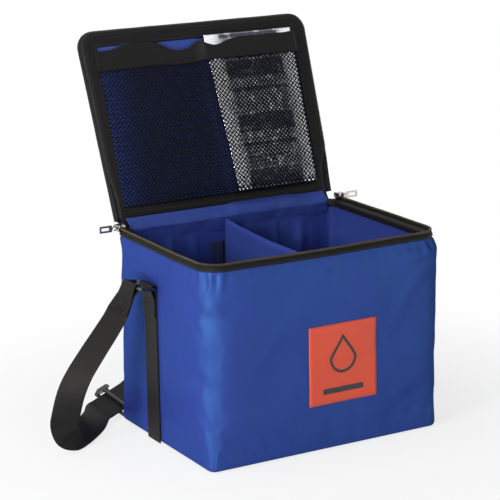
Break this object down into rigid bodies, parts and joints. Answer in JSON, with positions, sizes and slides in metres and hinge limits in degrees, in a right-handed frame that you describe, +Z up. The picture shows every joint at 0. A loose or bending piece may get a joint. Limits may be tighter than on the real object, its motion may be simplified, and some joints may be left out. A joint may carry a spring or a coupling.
{
  "type": "insulated specimen transport bag",
  "caption": "Soft-sided insulated carrying bag with a zipped hinged lid, a net pocket holding a cold pack, a lift-out divider and a shoulder strap.",
  "frame": {"origin": "middle of the base's underside, where the bag stands on a surface", "axes": "+X to the right seen from the front, +Y to the back where the lid is hinged, +Z up"},
  "size_m": [0.509, 0.326, 0.4578],
  "materials": {
    "blue_cloth": "coated nylon cloth with a fine weave and a soft sheen",
    "blue_lining": "smooth coated lining cloth, slightly wrinkled",
    "foam": "closed-cell foam sheet",
    "black_tape": "woven black binding and zip tape",
    "zip_teeth": "bronze nylon coil teeth",
    "orange_patch": "smooth coated patch, bare",
    "black_webbing": "woven polypropylene webbing",
    "black_net": "knitted black mesh",
    "silver_film": "shiny silver film pouch",
    "grip_tape": "hook and loop tape",
    "zip_metal": "bright nickel plate",
    "black_wire": "black coated steel wire",
    "black_plastic": "moulded black plastic"
  },
  "bodies": {
    "bag": {"outer_shell": "blue_cloth", "base_panel": "blue_cloth", "base_foam": "foam", "front_foam": "foam", "back_foam": "foam", "left_foam": "foam", "right_foam": "foam", "liner_wall": "blue_lining", "liner_floor": "blue_lining", "rim_binding": "black_tape", "body_zip_tape": "black_tape", "body_zip_teeth": "zip_teeth", "hinge_strip": "blue_cloth", "front_patch": "orange_patch", "left_anchor_webbing": "black_webbing", "right_anchor_webbing": "black_webbing", "front_loop_tape": "grip_tape", "back_loop_tape": "grip_tape", "shoulder_strap": "black_webbing"},
    "lid": {"lid_cover": "blue_cloth", "lid_foam": "foam", "lid_lining": "blue_lining", "lid_edge_band": "black_tape", "lid_zip_teeth": "zip_teeth", "lid_border_tape": "black_tape", "pocket_net": "black_net", "pocket_hem": "black_tape", "pocket_gusset": "black_tape"},
    "pack": {"cold_pack": "silver_film"},
    "divider": {"divider_board": "foam", "divider_cover": "blue_lining", "divider_front_hook": "grip_tape", "divider_back_hook": "grip_tape"},
    "left_zip_slider": {"left_slider": "zip_metal"},
    "right_zip_slider": {"right_slider": "zip_metal"},
    "left_zip_pull": {"left_pull": "zip_metal"},
    "right_zip_pull": {"right_pull": "zip_metal"},
    "left_ring_link": {"left_ring": "black_wire", "left_strap_end": "black_webbing"},
    "right_ring_link": {"right_ring": "black_wire", "right_strap_end": "black_webbing"},
    "adjuster": {"strap_adjuster": "black_plastic"}
  },
  "joints": [
    {"name": "lid_hinge", "type": "hinge", "parent": "bag", "child": "lid", "pos_m": [0, 0.116, 0.24], "axis": [-1, 0, 0], "range_deg": [-108.3, 60]},
    {"name": "pack_slide", "type": "slide", "parent": "lid", "child": "pack", "axis": [0, 0.314, 0.9494], "range_m": [0, 0.19]},
    {"name": "divider_lift", "type": "slide", "parent": "bag", "child": "divider", "axis": [0, 0, 1], "range_m": [0, 0.22]},
    {"name": "left_slider_travel", "type": "slide", "parent": "bag", "child": "left_zip_slider", "axis": [0, -1, 0], "range_m": [0, 0.175]},
    {"name": "right_slider_travel", "type": "slide", "parent": "bag", "child": "right_zip_slider", "axis": [0, -1, 0], "range_m": [0, 0.175]},
    {"name": "left_pull_swing", "type": "hinge", "parent": "left_zip_slider", "child": "left_zip_pull", "pos_m": [-0.1588, 0.1, 0.238], "axis": [0, 0, 1], "range_deg": [-80, 80]},
    {"name": "right_pull_swing", "type": "hinge", "parent": "right_zip_slider", "child": "right_zip_pull", "pos_m": [0.1588, 0.1, 0.238], "axis": [0, 0, -1], "range_deg": [-80, 80]},
    {"name": "left_ring_swing", "type": "hinge", "parent": "bag", "child": "left_ring_link", "pos_m": [-0.1568, 0.024, 0.187], "axis": [0, 1, 0], "range_deg": [0, 70]},
    {"name": "right_ring_swing", "type": "hinge", "parent": "bag", "child": "right_ring_link", "pos_m": [0.1568, 0.024, 0.187], "axis": [0, -1, 0], "range_deg": [0, 70]},
    {"name": "adjuster_slide", "type": "slide", "parent": "bag", "child": "adjuster", "axis": [0.8, 0.6, 0], "range_m": [0, 0.022]}
  ]
}
